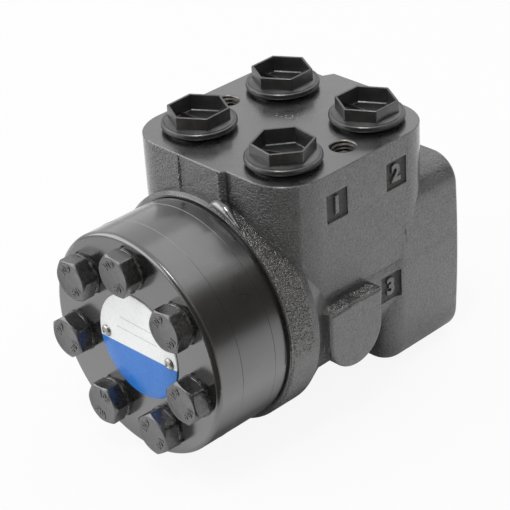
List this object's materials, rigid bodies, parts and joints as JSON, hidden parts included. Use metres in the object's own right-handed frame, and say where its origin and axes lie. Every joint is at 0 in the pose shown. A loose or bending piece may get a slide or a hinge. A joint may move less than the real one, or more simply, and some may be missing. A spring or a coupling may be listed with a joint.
{
  "type": "orbital steering unit",
  "caption": "Hydrostatic steering valve with a gerotor gear set behind a bolted end cover, a cast valve housing, plugged ports on its top face and a splined input.",
  "frame": {"origin": "centre of the column mounting face, on the shaft axis", "axes": "+Y out of the column face along the shaft, +Z towards the port face, +X to the side with the lug and the cast windows"},
  "size_m": [0.0985, 0.145, 0.1189],
  "materials": {
    "cast_housing": "black paint over cast iron grain, satin",
    "gear_set_paint": "smooth satin black paint",
    "bolt_black": "black oxide, semi-matt",
    "washer_steel": "dark steel with a bright rim",
    "seal_rubber": "nitrile rubber",
    "name_plate": "printed aluminium disc, white above blue",
    "rivet_metal": "plain drive rivets",
    "plug_plastic": "moulded black polyethylene",
    "valve_steel": "ground steel",
    "bright_steel": "hardened ground steel",
    "spring_steel": "blued spring steel"
  },
  "bodies": {
    "housing": {"housing": "cast_housing", "distribution_plate": "gear_set_paint", "stator_ring": "gear_set_paint", "end_cover": "gear_set_paint", "housing_o_ring": "seal_rubber", "plate_o_ring": "seal_rubber", "cover_o_ring": "seal_rubber", "cover_bolts": "bolt_black", "pin_bolt": "bolt_black", "cover_washers": "washer_steel", "name_plate": "name_plate", "name_plate_rivets": "rivet_metal", "check_bushing": "valve_steel", "suction_pins": "valve_steel", "port_plug_front_left": "plug_plastic", "port_plug_front_right": "plug_plastic", "port_plug_back_left": "plug_plastic", "port_plug_back_right": "plug_plastic", "bearing_outer_race": "bright_steel", "shaft_seal": "seal_rubber", "dust_seal": "seal_rubber"},
    "sleeve": {"sleeve": "valve_steel", "cross_pin": "bright_steel", "centring_springs": "spring_steel", "spring_ring": "spring_steel", "bearing_inner_race": "bright_steel"},
    "spool": {"spool": "valve_steel"},
    "bearing_cage": {"bearing_cage": "spring_steel", "bearing_needles": "bright_steel"},
    "spacer": {"spacer": "valve_steel"},
    "rotor": {"rotor": "bright_steel"},
    "drive_shaft": {"drive_shaft": "bright_steel"},
    "check_ball": {"check_ball": "bright_steel"},
    "suction_ball_1": {"suction_ball_1": "bright_steel"},
    "suction_ball_2": {"suction_ball_2": "bright_steel"}
  },
  "joints": [
    {"name": "sleeve_turn", "type": "hinge", "parent": "housing", "child": "sleeve", "pos_m": [0, -0.06, 0], "axis": [0, 1, 0], "continuous": true},
    {"name": "spool_twist", "type": "hinge", "parent": "sleeve", "child": "spool", "pos_m": [0, -0.06, 0], "axis": [0, 1, 0], "range_deg": [-8, 8], "stiffness_Nm_per_rad": 4},
    {"name": "gear_orbit", "type": "hinge", "parent": "housing", "child": "spacer", "pos_m": [0, -0.1168, 0], "axis": [0, 1, 0], "continuous": true},
    {"name": "rotor_turn", "type": "hinge", "parent": "spacer", "child": "rotor", "pos_m": [0.00313, -0.1168, 0.00065], "axis": [0, 1, 0], "continuous": true},
    {"name": "drive_turn", "type": "hinge", "parent": "spacer", "child": "drive_shaft", "pos_m": [0, -0.06, 0], "axis": [-0.0551, 0.9984, -0.0115], "continuous": true},
    {"name": "cage_turn", "type": "hinge", "parent": "housing", "child": "bearing_cage", "pos_m": [0, -0.019, 0], "axis": [0, 1, 0], "continuous": true},
    {"name": "check_ball_lift", "type": "slide", "parent": "housing", "child": "check_ball", "axis": [0, -1, 0], "range_m": [0, 0.00145]},
    {"name": "suction_lift_1", "type": "slide", "parent": "housing", "child": "suction_ball_1", "axis": [0, -1, 0], "range_m": [0, 0.00095]},
    {"name": "suction_lift_2", "type": "slide", "parent": "housing", "child": "suction_ball_2", "axis": [0, -1, 0], "range_m": [0, 0.00095]}
  ],
  "couplings": [
    {"joint": "gear_orbit", "follows": "sleeve_turn", "ratio": -6},
    {"joint": "rotor_turn", "follows": "sleeve_turn", "ratio": 7},
    {"joint": "drive_turn", "follows": "sleeve_turn", "ratio": 7},
    {"joint": "cage_turn", "follows": "sleeve_turn", "ratio": 0.5}
  ]
}
